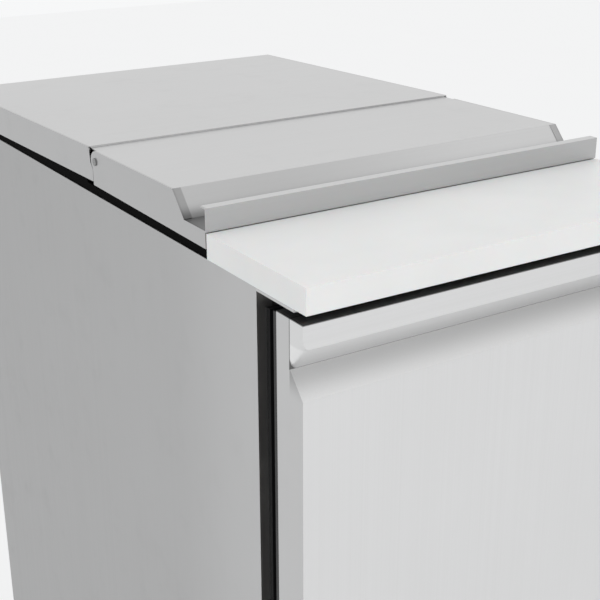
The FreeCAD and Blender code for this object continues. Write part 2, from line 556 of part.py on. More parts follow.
tail = prism("front_tail", (
    ("pivot_y - 4", lid_top("pivot_y - 4")), ("seam_y", lid_top("seam_y")),
    ("seam_y", lid_top("seam_y") + " - sheet"), ("pivot_y - 4", lid_top("pivot_y - 4") + " - sheet")),
    (minus(HALF) + " + tail_inset", HALF + " - tail_inset"))
caps = [
    prism("slope_cap_%s" % word, (
        ("trough_back_y", "cab_top + trough_z"), ("slope_top_y", "cab_top + lid_top_front"),
        ("slope_top_y - cap_thick", "cab_top + lid_top_front"),
        ("trough_back_y - cap_thick", "cab_top + trough_z + cap_thick/2")),
        both(side, HALF + " - cap_width", HALF))
    for word, side in SIDES
]
front_bare = fuse("front_lid_bare", [cut("front_shell_bent", shell_outer, [shell_hollow]), lip, tail] + caps)
pivot_holes = [
    rod("front_pivot_hole_%s" % word, "pivot_dia + run_fit", "sheet + 2",
        (both(side, HALF + " - sheet - 1", HALF + " + 1")[0], "pivot_y", "cab_top + pivot_z"), "x")
    for word, side in SIDES
]
node(cut("front_lid_skin", front_bare, pivot_holes))

PANEL_END = "(pivot_y - panel_end)"
node(prism("front_lid_insulation", (
    (WALL_IN, "cab_top + panel_z + sheet"),) + front_under + (
    (PANEL_END + " - sheet", lid_top("pivot_y - panel_end - sheet") + " - sheet"),
    (PANEL_END + " - sheet", "cab_top + panel_z + sheet")), INSIDE))
node(prism("front_lid_inner_panel", (
    (WALL_IN, "cab_top + panel_z"), (PANEL_END, "cab_top + panel_z"),
    (PANEL_END, lid_top("pivot_y - panel_end") + " - sheet"),
    (PANEL_END + " - sheet", lid_top("pivot_y - panel_end - sheet") + " - sheet"),
    (PANEL_END + " - sheet", "cab_top + panel_z + sheet"),
    (WALL_IN, "cab_top + panel_z + sheet")), INSIDE))
front_seal = [
    box("front_seal_%s" % word, both(side, HALF + " - sheet - lid_seal_width", HALF + " - sheet"),
        (WALL_IN, PANEL_END), ("cab_top", "cab_top + panel_z"))
    for word, side in SIDES
]
front_seal += [
    box("front_seal_end_%s" % word, both(side, HALF + " - sheet - lid_seal_width", HALF + " - sheet"),
        (PANEL_END, "pivot_y"), ("cab_top", "cab_top + seam_seal"))
    for word, side in SIDES
]
front_seal.append(box("front_seal_cross", ("-cab_width/2 + sheet + lid_seal_width",
                                           "cab_width/2 - sheet - lid_seal_width"),
                      (WALL_IN, WALL_IN + " + lid_seal_front"),
                      ("cab_top + 1.3*sheet", "cab_top + panel_z")))
node(fuse("front_lid_seal", front_seal))

# Rear lid section, hinged on the cabinet's back corners and carrying the front one.
REAR_TOP = "(rear_top_front - (rear_top_front - rear_top_back)*((%s) - seam_y)/(cab_depth/2 - seam_y))"
rear_outer = prism("rear_outer", (
    ("pivot_y + skirt_tail + 0.5", "cab_top + rear_skirt_front"),
    ("pivot_y + skirt_tail + 0.5", "cab_top + pivot_z - 8"), ("pivot_y + 11", "cab_top + pivot_z - 3"),
    ("pivot_y + 13.2", lid_top("pivot_y + 13.2")), ("seam_y + 0.5", lid_top("seam_y + 0.5")),
    ("seam_y + 0.5", "cab_top + " + REAR_TOP % "seam_y + 0.5"), (BACK, "cab_top + rear_top_back"),
    (BACK, "cab_top + rear_skirt_back")), WHOLE)
rear_hollow = prism("rear_hollow", (
    ("pivot_y", "cab_top"), ("pivot_y", "cab_top + 60"), ("seam_y + 0.5", "cab_top + 60"),
    ("seam_y + 0.5", "cab_top - sheet + " + REAR_TOP % "seam_y + 0.5"),
    (BACK_IN, "cab_top - sheet + " + REAR_TOP % BACK_IN), (BACK_IN, "cab_top")), INSIDE)
NOTCH_X = (HALF + " - notch_side", HALF + " - sheet")


def notches(prefix):
    """Room at the back corners for the hinge blocks."""
    return [box("%s_notch_%s" % (prefix, word), both(side, NOTCH_X[0], NOTCH_X[1]),
                ("hinge_y - notch_front", BACK + " + 1"), ("cab_top - 1", "cab_top + notch_top"))
            for word, side in SIDES]


hinge_holes = [
    rod("rear_hinge_hole_%s" % word, "pivot_dia + run_fit", "sheet + 2",
        (both(side, HALF + " - sheet - 1", HALF + " + 1")[0], "hinge_y", "cab_top + hinge_z"), "x")
    for word, side in SIDES
]
ears = []
for word, side in SIDES:
    ear_x = both(side, HALF + " - 2*sheet - ear_clear", HALF + " - sheet - ear_clear")
    weld_x = both(side, HALF + " - sheet - ear_clear", HALF + " - sheet")
    disc = rod("ear_disc_%s" % word, "2*ear_radius", "sheet",
               (ear_x[0], "pivot_y", "cab_top + pivot_z"), "x")
    arm = box("ear_arm_%s" % word, ear_x, ("pivot_y", "pivot_y + ear_reach"),
              ("cab_top + pivot_z - 15", "cab_top + pivot_z - ear_drop"))
    weld = box("ear_weld_%s" % word, weld_x, ("pivot_y + 14", "pivot_y + ear_reach"),
               ("cab_top + pivot_z - 14", "cab_top + pivot_z - ear_drop"))
    bore = rod("ear_bore_%s" % word, "pivot_dia + run_fit", "4*sheet",
               (ear_x[0] + " - sheet", "pivot_y", "cab_top + pivot_z"), "x")
    ears.append(cut("lid_ear_%s" % word, fuse("ear_solid_%s" % word, [disc, arm, weld]), [bore]))
rear_bent = cut("rear_bent", rear_outer, [rear_hollow])
node(cut("rear_lid_skin", fuse("rear_lid_bare", [rear_bent] + ears), notches("skin") + hinge_holes))

rear_panel = prism("rear_panel", (
    ("rear_wall_y", "cab_top + rear_panel_front"), (BACK_IN, "cab_top + rear_panel_back"),
    (BACK_IN, "cab_top + rear_panel_back + sheet"),
    ("rear_wall_y + sheet", "cab_top + rear_panel_front + sheet"),
    ("rear_wall_y + sheet", "cab_top - sheet + " + REAR_TOP % "rear_wall_y + sheet"),
    ("rear_wall_y", "cab_top - sheet + " + REAR_TOP % "rear_wall_y")), INSIDE)
node(cut("rear_lid_inner_panel", rear_panel, notches("panel")))
rear_core = prism("rear_core", (
    ("rear_wall_y + sheet", "cab_top + rear_panel_front + sheet"),
    (BACK_IN, "cab_top + rear_panel_back + sheet"), (BACK_IN, "cab_top - sheet + " + REAR_TOP % BACK_IN),
    ("rear_wall_y + sheet", "cab_top - sheet + " + REAR_TOP % "rear_wall_y + sheet")), INSIDE)
node(cut("rear_lid_insulation", rear_core, notches("core")))

SEAL_END = "(hinge_y - notch_front - 0.5)"
PANEL_FALL = "(rear_panel_front - rear_panel_back)"
PANEL_DROP = "(rear_panel_front - " + PANEL_FALL + "*((%s) - rear_wall_y)/(%s - rear_wall_y))"
rear_seal = [
    prism("rear_seal_%s" % word, (
        ("rear_wall_y", "cab_top"), ("rear_wall_y", "cab_top + rear_panel_front"),
        (SEAL_END, "cab_top + " + PANEL_DROP % (SEAL_END, BACK_IN)), (SEAL_END, "cab_top")),
        both(side, HALF + " - sheet - lid_seal_width", HALF + " - sheet"))
    for word, side in SIDES
]
rear_seal += [
    box("rear_seal_end_%s" % word, both(side, HALF + " - sheet - lid_seal_width", HALF + " - sheet"),
        ("pivot_y + 0.5", "rear_wall_y"), ("cab_top", "cab_top + seam_seal"))
    for word, side in SIDES
]
rear_seal.append(prism("rear_seal_cross", (
    (SEAL_END + " - 3", "cab_top + 1.3*sheet"),
    (SEAL_END + " - 3", "cab_top + " + PANEL_DROP % (SEAL_END + " - 3", BACK_IN)),
    (SEAL_END, "cab_top + " + PANEL_DROP % (SEAL_END, BACK_IN)), (SEAL_END, "cab_top + 1.3*sheet")),
    ("-cab_width/2 + sheet + lid_seal_width", "cab_width/2 - sheet - lid_seal_width")))
node(fuse("rear_lid_seal", rear_seal))


def side_screws(name, y, z, reach):
    """A flat-headed pivot screw in each side skirt, reach long under its head."""
    screws = []
    for word, side in SIDES:
        shank_x = both(side, HALF + " - %s" % reach, HALF)
        head_x = both(side, HALF, HALF + " + head_thick")
        shank = rod("%s_shank_%s" % (name, word), "pivot_dia", reach, (shank_x[0], y, z), "x")
        head = rod("%s_head_%s" % (name, word), "pivot_head", "head_thick", (head_x[0], y, z), "x")
        screws.append(fuse("%s_%s" % (name, word), [shank, head]))
    return screws


node(group("lid_screws", side_screws("pivot_screw", "pivot_y", "cab_top + pivot_z", "3*sheet")
           + side_screws("hinge_screw", "hinge_y", "cab_top + hinge_z", "8*sheet")))
blocks = []
for word, side in SIDES:
    block_x = both(side, HALF + " - sheet - ear_clear - hinge_block", HALF + " - sheet - ear_clear")
    solid = box("hinge_block_%s_solid" % word, block_x, ("hinge_y - 6", "hinge_y + 4"),
                ("cab_top", "cab_top + hinge_block_top"))
    bore = rod("hinge_block_%s_bore" % word, "pivot_dia + run_fit", "hinge_block + 2",
               (block_x[0] + " - 1", "hinge_y", "cab_top + hinge_z"), "x")
    blocks.append(cut("hinge_block_%s" % word, solid, [bore]))
node(group("lid_hinge_blocks", blocks))

# Legs with screw-out feet.
FRONT_LEG = "-cab_depth/2 + leg_inset_front"
REAR_LEG = "cab_depth/2 - leg_inset_rear"
FEET = {
    "front_left": (-1, FRONT_LEG), "front_right": (1, FRONT_LEG),
    "rear_left": (-1, REAR_LEG), "rear_right": (1, REAR_LEG),
}
legs = []
for word, (side, y) in FEET.items():
    x = "%d*(cab_width/2 - leg_inset_x)" % side
    legs.append(turned("leg_%s" % word, (
        ("stem_dia/2 + run_fit/2", "leg_gap"), ("leg_dia/2 - 3", "leg_gap"), ("leg_dia/2", "leg_gap + 4"),
        ("leg_dia/2", "base_height"), ("stem_dia/2 + run_fit/2", "base_height")), (x, y, "0")))
    node(turned("foot_%s" % word, (
        ("0", "0"), ("foot_dia/2 - 2", "0"), ("foot_dia/2", "2"), ("foot_dia/2", "foot_thick"),
        ("stem_dia/2 + 3", "foot_thick + 4"), ("stem_dia/2", "foot_thick + 4"),
        ("stem_dia/2", "foot_thick + stem_len"), ("0", "foot_thick + stem_len")), (x, y, "0")))
node(group("legs", legs))

# Wire shelf on two rails.
rails = []
for word, side in SIDES:
    outer = box("rail_%s_outer" % word, both(side, CAVITY + " - rail_wide", CAVITY),
                ("shelf_front - 10", "shelf_back + 10"), ("shelf_z - rail_tall", "shelf_z"))
    hollow = box("rail_%s_hollow" % word, both(side, CAVITY + " - rail_wide - 1", CAVITY + " - 1.5*sheet"),
                 ("shelf_front - 11", "shelf_back + 11"), ("shelf_z - rail_tall - 1", "shelf_z - 1.5*sheet"))
    rails.append(cut("shelf_rail_%s" % word, outer, [hollow]))
node(group("shelf_rails", rails))
wires = [
    box("shelf_long_%d" % number, ("%s - shelf_wire/2" % x, "%s + shelf_wire/2" % x),
        ("shelf_front", "shelf_back"), ("shelf_z", "shelf_z + shelf_wire"))
    for number, x in enumerate(("-shelf_half", "0", "shelf_half"))
]
wires += [
    box("shelf_cross_%d" % number, ("-shelf_half - shelf_wire/2", "shelf_half + shelf_wire/2"),
        ("shelf_front + %d*(shelf_back - shelf_front - shelf_wire)/(shelf_wires - 1)" % number,
         "shelf_front + %d*(shelf_back - shelf_front - shelf_wire)/(shelf_wires - 1) + shelf_wire" % number),
        ("shelf_z", "shelf_z + shelf_wire"))
    for number in range(int(SIZES["shelf_wires"]))
]
node(fuse("wire_shelf", wires))


# Fans: a motor, and a hub with four pitched blades that turns about Y.
def fan(name, x, y, z, dia):
    """Blades whose front lies at y, in front of the motor behind."""
    hub = cut(name + "_hub", rod(name + "_hub_disc", "hub_dia", "blade_width/2", (x, y, z), "y"),
              [rod(name + "_hub_bore", "shaft_dia + run_fit", "blade_width", (x, y + " - 1", z), "y")])
    blades = []
    for quarter in range(4):
        blade = doc.addObject("Part::Box", "%s_blade_%d" % (name, quarter))
        blade.setExpression("Length", bound("(%s)/2 - blade_gap - hub_dia/2 + 3" % dia))
        blade.setExpression("Width", bound("blade_thick"))
        blade.setExpression("Height", bound("blade_width"))
        spin = FreeCAD.Rotation(FreeCAD.Vector(0, 1, 0), 90 * quarter)
        pitch = FreeCAD.Rotation(FreeCAD.Vector(1, 0, 0), 62)
        blade.Placement.Rotation = spin.multiply(pitch)
        reach = FreeCAD.Rotation(FreeCAD.Vector(0, 1, 0), 90 * quarter).multVec(FreeCAD.Vector(1, 0, 0))
        across = spin.multVec(pitch.multVec(FreeCAD.Vector(0, 0, -1)))
        place(blade, (
            "%s + %g*(hub_dia/2 - 3) + %g*blade_width/2" % (x, reach.x, across.x),
            "%s + blade_width/4 + %g*blade_width/2" % (y, across.y),
            "%s + %g*(hub_dia/2 - 3) + %g*blade_width/2" % (z, reach.z, across.z)))
        blades.append(blade)
    return fuse(name, [hub] + blades)


def motor_behind(name, x, y, z):
    """A motor whose face lies at y, with its shaft out of the front."""
    can = rod(name + "_can", "motor_dia", "motor_len", (x, y, z), "y")
    shaft = rod(name + "_shaft", "shaft_dia", "shaft_len", (x, y + " - shaft_len", z), "y")
    return fuse(name, [can, shaft])


EVAP_FRONT = "(cab_depth/2 - wall_rear - evap_depth)"
cover_outer = box("cover_outer", ("-evap_half", "evap_half"), (EVAP_FRONT, CAVITY_BACK),
                  ("evap_low", "evap_high"))
cover_hollow = box("cover_hollow", ("-evap_half + sheet", "evap_half - sheet"),
                   (EVAP_FRONT + " + sheet", BACK), ("evap_low - 1", "evap_high - sheet"))
cover_hole = rod("cover_hole", "evap_fan_dia", "sheet + 2", ("0", EVAP_FRONT + " - 1", "evap_fan_z"), "y")
node(cut("evaporator_cover", cover_outer, [cover_hollow, cover_hole]))
COIL_FIN = "-evap_half + coil_inset + %d*(2*evap_half - 2*coil_inset - sheet)/(coil_fins - 1)"
COIL_TUBE = "step_top + coil_tube_at + %d*coil_tube_pitch"
coil_parts = [
    box("coil_fin_%d" % number,
        (COIL_FIN % number, COIL_FIN % number + " + sheet"),
        (CAVITY_BACK + " - coil_deep", CAVITY_BACK),
        ("step_top + coil_lift", "step_top + coil_lift + coil_tall"))
    for number in range(int(SIZES["coil_fins"]))
]
coil_parts += [
    box("coil_tube_%d" % number, ("-evap_half + tube_inset", "evap_half - tube_inset"),
        (CAVITY_BACK + " - tube_back - tube_deep/2", CAVITY_BACK + " - tube_back + tube_deep/2"),
        (COIL_TUBE % number, COIL_TUBE % number + " + tube_tall"))
    for number in range(int(SIZES["coil_tubes"]))
]
node(fuse("evaporator_coil", coil_parts))
node(motor_behind("evaporator_fan_motor", "0", CAVITY_BACK + " - motor_len", "evap_fan_z"))
node(fan("evaporator_fan", "0", CAVITY_BACK + " - motor_len - 22", "evap_fan_z", "evap_fan_dia"))

# Machine bay: compressor, condenser with its fan, and the pipes between them.
node(turned("compressor", (
    ("0", BASE_IN + " + comp_foot"), ("comp_dia/2 - 16", BASE_IN + " + comp_foot"),
    ("comp_dia/2 - 4", BASE_IN + " + comp_foot + 12"), ("comp_dia/2", BASE_IN + " + comp_foot + 36"),
    ("comp_dia/2", BASE_IN + " + comp_height - 60"), ("comp_dia/2 - 6", BASE_IN + " + comp_height - 28"),
    ("comp_dia/2 - 26", BASE_IN + " + comp_height - 8"), ("0", BASE_IN + " + comp_height")),
    ("comp_x", "comp_y", "0")))
node(group("compressor_mounts", [
    rod("comp_mount_%d" % number, "22", "comp_foot",
        ("comp_x + %d*comp_dia/4" % along, "comp_y + %d*comp_dia/4" % across, BASE_IN))
    for number, (along, across) in enumerate(((-1, -1), (1, -1), (-1, 1), (1, 1)))
]))
COND_FIN = "cond_x - cond_half + cond_end + %d*(2*cond_half - 2*cond_end - sheet)/(cond_fins - 1)"
COND_TUBE = BASE_IN + " + cond_tube_at + %d*cond_tube_pitch"
cond_parts = [
    box("cond_fin_%d" % number,
        (COND_FIN % number, COND_FIN % number + " + sheet"),
        ("cond_y", "cond_y + cond_depth"), (BASE_IN, BASE_IN + " + cond_high"))
    for number in range(int(SIZES["cond_fins"]))
]
cond_parts += [
    box("cond_tube_%d" % number, ("cond_x - cond_half", "cond_x + cond_half"),
        ("cond_y + cond_depth/2 - tube_deep/2", "cond_y + cond_depth/2 + tube_deep/2"),
        (COND_TUBE % number, COND_TUBE % number + " + tube_tall"))
    for number in range(int(SIZES["cond_tubes"]))
]
node(fuse("condenser", cond_parts))
shroud = box("shroud_plate", ("cond_x - cond_half", "cond_x + cond_half"),
             ("cond_y - shroud_gap", "cond_y - shroud_gap + sheet"), (BASE_IN, BASE_IN + " + cond_high"))
shroud_hole = rod("shroud_hole", "cond_fan_dia", "sheet + 2",
                  ("cond_x", "cond_y - shroud_gap - 1", BASE_IN + " + cond_high/2"), "y")
shroud_ring = cut("shroud_ring", shroud, [shroud_hole])
FAN_Y = "cond_y - shroud_gap - shroud_fan_gap"
MOTOR_FRONT = FAN_Y + " - fan_motor_gap - motor_len"
MOTOR_BACK = FAN_Y + " - fan_motor_gap"
STRUT_Z = (BASE_IN + " + cond_high/2 - strut_tall/2", BASE_IN + " + cond_high/2 + strut_tall/2")
POST_X = "cond_x + %d*(cond_half - strut_post/2)"
node(fan("condenser_fan", "cond_x", FAN_Y, BASE_IN + " + cond_high/2", "cond_fan_dia"))
condenser_can = rod("condenser_can", "motor_dia", "motor_len",
                    ("cond_x", MOTOR_FRONT, BASE_IN + " + cond_high/2"), "y")
condenser_shaft = rod("condenser_shaft", "shaft_dia", "shaft_len",
                      ("cond_x", MOTOR_BACK, BASE_IN + " + cond_high/2"), "y")
node(fuse("condenser_fan_motor", [condenser_can, condenser_shaft]))
strut = box("fan_strut_bar", ("cond_x - cond_half", "cond_x + cond_half"),
            (MOTOR_FRONT + " - strut_thick", MOTOR_FRONT), STRUT_Z)
posts = [
    box("fan_strut_post_%s" % word,
        (POST_X % side + " - strut_post/2", POST_X % side + " + strut_post/2"),
        (MOTOR_FRONT, "cond_y - shroud_gap"), STRUT_Z)
    for word, side in SIDES
]
node(fuse("condenser_shroud", [shroud_ring, strut] + posts))

# Controls in the sill: thermostat with three keys, and the mains rocker.
bezel = box("ctrl_bezel", ("ctrl_x - ctrl_wide/2", "ctrl_x + ctrl_wide/2"), (FRONT + " - ctrl_face", FRONT),
            (PART_LOW % "ctrl_tall", PART_HIGH % "ctrl_tall"))
casing = box("ctrl_casing", ("ctrl_x - ctrl_body_wide/2", "ctrl_x + ctrl_body_wide/2"),
             (FRONT, FRONT_IN + " + ctrl_depth"),
             (PART_LOW % "ctrl_body_tall", PART_HIGH % "ctrl_body_tall"))
window_x = ("ctrl_x - ctrl_wide/2 + 6", "ctrl_x + ctrl_wide/2 - 30")
window_z = ("front_part_z - 9", "front_part_z + 9")
window_pocket = box("ctrl_window_pocket", window_x, (FRONT + " - ctrl_face - 1", FRONT + " - ctrl_face + 1"),
                    window_z)
KEYS = (("set", 0, 0), ("up", 1, 1), ("down", 1, -1))
KEY_X = "(ctrl_x + ctrl_wide/2 - 24 + %d*key_pitch)"
KEY_Z = "(front_part_z + %d*5)"
key_pockets = [
    box("key_pocket_%s" % word,
        (KEY_X % column + " - key_wide/2 - 0.2", KEY_X % column + " + key_wide/2 + 0.2"),
        (FRONT + " - ctrl_face - 1", FRONT + " - 1"),
        (KEY_Z % level + " - key_tall/2 - 0.2", KEY_Z % level + " + key_tall/2 + 0.2"))
    for word, column, level in KEYS
]
node(cut("controller", fuse("controller_solid", [bezel, casing]), [window_pocket] + key_pockets))
node(box("controller_display", window_x, (FRONT + " - ctrl_face", FRONT + " - ctrl_face + 1"), window_z))
for word, column, level in KEYS:
    node(box("key_%s" % word, (KEY_X % column + " - key_wide/2", KEY_X % column + " + key_wide/2"),
             (FRONT + " - ctrl_face - key_out", FRONT + " - 2"),
             (KEY_Z % level + " - key_tall/2", KEY_Z % level + " + key_tall/2")))
switch_face = box("switch_face", ("switch_x - switch_wide/2", "switch_x + switch_wide/2"),
                  (FRONT + " - 2", FRONT), (PART_LOW % "switch_tall", PART_HIGH % "switch_tall"))
switch_case = box("switch_case", ("switch_x - rocker_wide/2 - 2", "switch_x + rocker_wide/2 + 2"),
                  (FRONT, FRONT_IN + " + 25"),
                  (PART_LOW % "(rocker_tall + 4)", PART_HIGH % "(rocker_tall + 4)"))
rocker_well = box("rocker_well", ("switch_x - rocker_wide/2 - 0.4", "switch_x + rocker_wide/2 + 0.4"),
                  (FRONT + " - 3", FRONT + " + 12"),
                  (PART_LOW % "(rocker_tall + 0.8)", PART_HIGH % "(rocker_tall + 0.8)"))
node(cut("switch_housing", fuse("switch_solid", [switch_face, switch_case]), [rocker_well]))
rocker_bar = prism("rocker_bar", (
    (FRONT + " - 4", "front_part_z - rocker_tall/2 + 1.7"), (FRONT + " - 1.6", "front_part_z"),
    (FRONT + " - 1.6", "front_part_z + rocker_tall/2"), (FRONT + " + 4", "front_part_z + rocker_tall/2 - 2"),
    (FRONT + " + 4", "front_part_z - rocker_tall/2 + 2")),
    ("switch_x - rocker_wide/2", "switch_x + rocker_wide/2"))
rocker_axle = rod("rocker_axle", "rocker_axle_dia", "rocker_wide + 0.6",
                  ("switch_x - rocker_wide/2 - 0.3", FRONT + " + 4", "front_part_z"), "x")
node(fuse("switch_rocker", [rocker_bar, rocker_axle]))

# Mains cord grommet in the rear grille.
grommet_body = rod("grommet_body", "grommet_dia", "sheet", ("grommet_x", BACK_IN, "grommet_z"), "y")
grommet_back = rod("grommet_back", "grommet_dia + 4", "grommet_len - sheet",
                   ("grommet_x", BACK + " - grommet_len", "grommet_z"), "y")
grommet_bore = rod("grommet_bore", "cord_bore", "grommet_len + 2",
                   ("grommet_x", BACK + " - grommet_len - 1", "grommet_z"), "y")
node(cut("cord_grommet", fuse("grommet_solid", [grommet_body, grommet_back]), [grommet_bore]))

doc.recompute()
for item in doc.Objects:
    if {"Invalid", "Error"} & set(item.State):
        raise RuntimeError("%s did not build: %s" % (item.Name, item.State))
for item in NODES:
    if item.Shape.isNull() or not item.Shape.isValid():
        raise RuntimeError("%s has no valid shape" % item.Name)
    item.Label = item.Name
    item.Shape.exportStep("parts/%s.step" % item.Name)
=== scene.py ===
import json
import math
import bpy
from mathutils import Matrix, Vector


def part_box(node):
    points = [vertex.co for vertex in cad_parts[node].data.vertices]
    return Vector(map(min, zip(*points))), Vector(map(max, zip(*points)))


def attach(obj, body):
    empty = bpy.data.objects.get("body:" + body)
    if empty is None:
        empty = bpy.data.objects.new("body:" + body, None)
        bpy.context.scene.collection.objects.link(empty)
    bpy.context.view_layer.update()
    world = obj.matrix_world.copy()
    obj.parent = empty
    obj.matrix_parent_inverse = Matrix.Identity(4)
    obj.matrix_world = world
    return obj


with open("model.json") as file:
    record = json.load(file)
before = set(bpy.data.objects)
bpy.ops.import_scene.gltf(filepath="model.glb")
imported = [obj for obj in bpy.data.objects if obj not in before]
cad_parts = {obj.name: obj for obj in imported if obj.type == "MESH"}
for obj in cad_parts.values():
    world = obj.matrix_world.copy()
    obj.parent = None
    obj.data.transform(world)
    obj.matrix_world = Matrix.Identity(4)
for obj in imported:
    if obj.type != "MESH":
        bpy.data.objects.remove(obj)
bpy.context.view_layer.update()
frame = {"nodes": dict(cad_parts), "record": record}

# ---------------------------------------------------------------- places that the shading follows
# LIP is the front of the lid's lip and TROUGH the floor behind it. GRIP_WALL is the back face of the door's
# grip and VERTEX its lower edge.

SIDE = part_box("side_panel_left")
FRONT_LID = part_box("front_lid_skin")
LIP = FRONT_LID[0].y
TROUGH = SIDE[1].z + 0.0235
HALF_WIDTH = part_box("cutting_board")[1].x
DOOR_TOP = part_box("door_skin")[1].z
GRIP_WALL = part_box("door_grip")[1].y
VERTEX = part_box("door_grip")[0].z

# ---------------------------------------------------------------- shader nodes


def start_material(name):
    """A new material with its node tree, its shader and its coordinates."""
    material = bpy.data.materials.new(name)
    material.use_nodes = True
    nodes = material.node_tree.nodes
    shader = nodes["Principled BSDF"]
    coord = nodes.new("ShaderNodeTexCoord")
    return material, material.node_tree, shader, coord


def noise(tree, coord, scale, detail=2.0, roughness=0.5, stretch=(1, 1, 1)):
    """Noise fixed to the piece, drawn out where stretch is small."""
    mapping = tree.nodes.new("ShaderNodeMapping")
    mapping.inputs["Scale"].default_value = stretch
    tree.links.new(coord.outputs["Object"], mapping.inputs["Vector"])
    texture = tree.nodes.new("ShaderNodeTexNoise")
    texture.inputs["Scale"].default_value = scale
    texture.inputs["Detail"].default_value = detail
    texture.inputs["Roughness"].default_value = roughness
    tree.links.new(mapping.outputs["Vector"], texture.inputs["Vector"])
    return texture.outputs["Fac"]


def spread(tree, value, low, high, start=0.3, end=0.7):
    """The value carried from start..end, which is where noise mostly lies, to low..high."""
    remap = tree.nodes.new("ShaderNodeMapRange")
    remap.inputs["From Min"].default_value = start
    remap.inputs["From Max"].default_value = end
    remap.inputs["To Min"].default_value = low
    remap.inputs["To Max"].default_value = high
    tree.links.new(value, remap.inputs["Value"])
    return remap.outputs["Result"]


def where(tree, mask, amount):
    """The amount where the mask is 1, and 1 where it is 0."""
    return spread(tree, mask, 1.0, amount, 0.0, 1.0)


def join(tree, operation, first, second=0.0):
    """Two values or sockets put through one operation; ABSOLUTE reads only the first."""
    math_node = tree.nodes.new("ShaderNodeMath")
    math_node.operation = operation
    for socket, value in zip(math_node.inputs, (first, second)):
        if isinstance(value, (int, float)):
            socket.default_value = value
        else:
            tree.links.new(value, socket)
    return math_node.outputs["Value"]


def product(tree, factors):
    """All the factors multiplied together."""
    result = factors[0]
    for factor in factors[1:]:
        result = join(tree, "MULTIPLY", result, factor)
    return result


def tint(tree, factor, dark, light):
    """A colour between dark and light."""
    ramp = tree.nodes.new("ShaderNodeMix")
    ramp.data_type = "RGBA"
    ramp.inputs["A"].default_value = (*dark, 1)
    ramp.inputs["B"].default_value = (*light, 1)
    tree.links.new(factor, ramp.inputs["Factor"])
    return ramp.outputs["Result"]


def bump(tree, shader, height, distance, strength):
    """Fine relief on the shader, with its height in metres."""
    node = tree.nodes.new("ShaderNodeBump")
    node.inputs["Strength"].default_value = strength
    node.inputs["Distance"].default_value = distance
    tree.links.new(height, node.inputs["Height"])
    tree.links.new(node.outputs["Normal"], shader.inputs["Normal"])


def along(tree, coord, source, axis):
    """One axis of the coordinates: Object is the place on the piece, Normal the way a face looks."""
    parts = tree.nodes.new("ShaderNodeSeparateXYZ")
    tree.links.new(coord.outputs[source], parts.inputs["Vector"])
    return parts.outputs[axis]


def fade(tree, coord, axis, place, start, end):
    """0 at start and 1 at end, both in metres from a place along one axis of the piece."""
    ramp = tree.nodes.new("ShaderNodeMapRange")
    ramp.interpolation_type = "SMOOTHSTEP"
    ramp.inputs["From Min"].default_value = place + start
    ramp.inputs["From Max"].default_value = place + end
    tree.links.new(along(tree, coord, "Object", axis), ramp.inputs["Value"])
    return ramp.outputs["Result"]


def shaded(tree, colour, amount):
    """The colour times the amount."""
    scaled = tree.nodes.new("ShaderNodeVectorMath")
    scaled.operation = "SCALE"
    tree.links.new(colour, scaled.inputs["Vector"])
    tree.links.new(amount, scaled.inputs["Scale"])
    return scaled.outputs["Vector"]


# ---------------------------------------------------------------- painted light and shade over a piece


def facing_shade(tree, coord, upright, fold_line_shade=0.80):
    """Painted shade: 1 on level faces, the given share on upright ones, and a faint shaded line along the
    side folds.
    """
    level_share = join(tree, "ABSOLUTE", along(tree, coord, "Normal", "Z"))
    from_middle = join(tree, "ABSOLUTE", along(tree, coord, "Object", "X"))
    line_start = HALF_WIDTH - 0.0020
    line_end = HALF_WIDTH - 0.0010
    by_fold = spread(tree, from_middle, 0.0, 1.0, line_start, line_end)
    fold_shade = where(tree, join(tree, "MULTIPLY", by_fold, level_share), fold_line_shade)
    return join(tree, "MULTIPLY", spread(tree, level_share, upright, 1.0, 0.1, 0.9), fold_shade)


def side_shade(tree, coord, rear=0.95, front=1.06, front_edge=1.16, edge_reach=0.16):
    """Painted reflection on the side sheet, brighter towards its front edge."""
    depth = SIDE[1].y - SIDE[0].y
    along_side = spread(tree, fade(tree, coord, "Y", SIDE[0].y, depth, 0.0), rear, front, 0.0, 1.0)
    near_front = where(tree, fade(tree, coord, "Y", SIDE[0].y, edge_reach, 0.0), front_edge)
    return join(tree, "MULTIPLY", along_side, near_front)


def slope_sheen(tree, coord, slope, left=0.86, right=1.12, left_x=-0.15, right_x=0.16):
    """Painted sheen on the steep slope, which grows from left to right over the middle of the lid."""
    across = spread(tree, fade(tree, coord, "X", 0.0, left_x, right_x), left, right, 0.0, 1.0)
    change = join(tree, "SUBTRACT", across, 1.0)
    return join(tree, "ADD", join(tree, "MULTIPLY", change, slope), 1.0)


def trough_shade(tree, coord, trough_shadow=0.32, weld_end_shade=0.70):
    """Painted shade in the front section's trough and on its slope's end weld strips, and the slope's
    painted sheen.
    """
    upward = spread(tree, along(tree, coord, "Normal", "Z"), 0.0, 1.0, 0.3, 0.5)
    behind_lip = fade(tree, coord, "Y", LIP, 0.0010, 0.0012)
    before_slope = fade(tree, coord, "Y", LIP, 0.050, 0.036)
    deep = fade(tree, coord, "Z", TROUGH, 0.014, 0.002)
    trough = where(tree, product(tree, (upward, behind_lip, before_slope, deep)), trough_shadow)
    clear, welded_to = 0.0085, 0.0075
    left_end = fade(tree, coord, "X", FRONT_LID[0].x, clear, welded_to)
    right_end = fade(tree, coord, "X", FRONT_LID[1].x, -clear, -welded_to)
    slope_foot = fade(tree, coord, "Y", LIP, 0.0375, 0.0380)
    slope_head = fade(tree, coord, "Y", LIP, 0.0585, 0.0575)
    slope = product(tree, (upward, slope_foot, slope_head))
    weld = where(tree, join(tree, "MULTIPLY", join(tree, "MAXIMUM", left_end, right_end), slope), weld_end_shade)
    return product(tree, (trough, weld, slope_sheen(tree, coord, slope)))


def top_shade(tree, coord, under_board_shade=0.4):
    """Painted shade on the door's top face, in the slot under the board."""
    return where(tree, fade(tree, coord, "Z", DOOR_TOP, -0.0008, -0.0004), under_board_shade)


